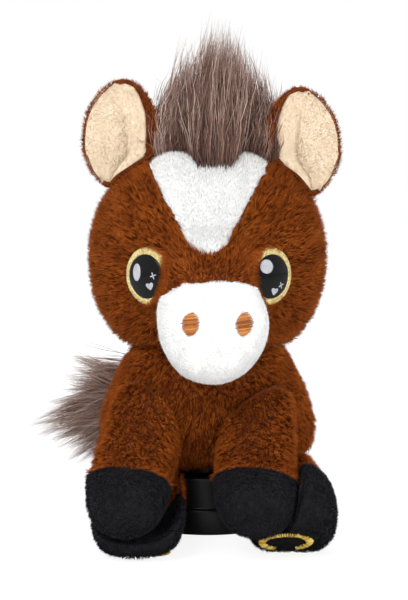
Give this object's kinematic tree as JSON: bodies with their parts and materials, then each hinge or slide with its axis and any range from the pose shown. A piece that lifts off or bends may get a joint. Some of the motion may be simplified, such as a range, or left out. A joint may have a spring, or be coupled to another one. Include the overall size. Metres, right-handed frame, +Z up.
{
  "type": "plush horse",
  "caption": "Sitting plush horse with a brown fur body, white blaze and muzzle, black hooves, glitter eyes and a dark hair mane and tail.",
  "frame": {"origin": "middle of the round base's flat underside", "axes": "+Z up, the horse faces -Y, its own left side is at +X"},
  "size_m": [0.1256, 0.1345, 0.198],
  "materials": {
    "brown_fur": "long soft pile",
    "white_fur": "short soft pile",
    "black_fur": "short soft pile",
    "ear_lining": "smooth short nap",
    "hair": "long loose strands with a slight shine",
    "gold_thread": "satin stitch",
    "tan_thread": "satin stitch",
    "filling": "loose polyester fibre",
    "eye_glitter": "gold glitter under clear plastic",
    "eye_black": "polished",
    "eye_hardware": "as moulded",
    "base_plastic": "satin black"
  },
  "bodies": {
    "torso": {"base_housing": "base_plastic", "base_plate": "base_plastic", "torso_cover": "brown_fur", "torso_filling": "filling"},
    "head": {"head_cover": "brown_fur", "head_filling": "filling", "blaze_patch": "white_fur", "muzzle_cover": "white_fur", "nostril_left": "tan_thread", "nostril_right": "tan_thread", "eye_ring_left": "eye_glitter", "eye_ring_right": "eye_glitter", "eye_pupil_left": "eye_black", "eye_pupil_right": "eye_black", "eye_stem_left": "eye_hardware", "eye_stem_right": "eye_hardware", "eye_washer_left": "eye_hardware", "eye_washer_right": "eye_hardware", "mane_crown": "hair", "mane_nape": "hair"},
    "ear_left": {"ear_fur_left": "brown_fur", "ear_lining_left": "ear_lining"},
    "ear_right": {"ear_fur_right": "brown_fur", "ear_lining_right": "ear_lining"},
    "tail": {"tail_hair": "hair"},
    "front_leg_left": {"front_leg_left": "brown_fur", "front_hoof_left": "black_fur", "front_leg_filling_left": "filling"},
    "front_leg_right": {"front_leg_right": "brown_fur", "front_hoof_right": "black_fur", "front_leg_filling_right": "filling"},
    "hind_leg_left": {"hind_leg_left": "brown_fur", "hind_hoof_left": "black_fur", "hind_leg_filling_left": "filling", "sole_patch_left": "black_fur", "sole_horseshoe_left": "gold_thread"},
    "hind_leg_right": {"hind_leg_right": "brown_fur", "hind_hoof_right": "black_fur", "hind_leg_filling_right": "filling", "sole_patch_right": "black_fur", "sole_horseshoe_right": "gold_thread"}
  },
  "joints": [
    {"name": "head_turn", "type": "hinge", "parent": "torso", "child": "head", "pos_m": [0, 0, 0.078], "axis": [0, 0, 1], "range_deg": [-15, 15], "stiffness_Nm_per_rad": 0.06},
    {"name": "ear_left_flop", "type": "hinge", "parent": "head", "child": "ear_left", "pos_m": [0.0386, -0.005, 0.138], "axis": [1, 0, 0], "range_deg": [-18, 18], "stiffness_Nm_per_rad": 0.01},
    {"name": "ear_right_flop", "type": "hinge", "parent": "head", "child": "ear_right", "pos_m": [-0.0354, -0.005, 0.141], "axis": [1, 0, 0], "range_deg": [-18, 18], "stiffness_Nm_per_rad": 0.01},
    {"name": "tail_swing", "type": "hinge", "parent": "torso", "child": "tail", "pos_m": [0, 0.036, 0.042], "axis": [0, 0, 1], "range_deg": [-15, 15], "stiffness_Nm_per_rad": 0.02},
    {"name": "front_leg_left_swing", "type": "hinge", "parent": "torso", "child": "front_leg_left", "pos_m": [0.019, -0.028, 0.062], "axis": [1, 0, 0], "range_deg": [-12, 0], "stiffness_Nm_per_rad": 0.05},
    {"name": "front_leg_right_swing", "type": "hinge", "parent": "torso", "child": "front_leg_right", "pos_m": [-0.019, -0.028, 0.062], "axis": [1, 0, 0], "range_deg": [-12, 0], "stiffness_Nm_per_rad": 0.05},
    {"name": "hind_leg_left_splay", "type": "hinge", "parent": "torso", "child": "hind_leg_left", "pos_m": [0.037, -0.01, 0.02], "axis": [0, 0, 1], "range_deg": [0, 6], "stiffness_Nm_per_rad": 0.05},
    {"name": "hind_leg_right_splay", "type": "hinge", "parent": "torso", "child": "hind_leg_right", "pos_m": [-0.037, -0.01, 0.02], "axis": [0, 0, 1], "range_deg": [-6, 0], "stiffness_Nm_per_rad": 0.05}
  ]
}
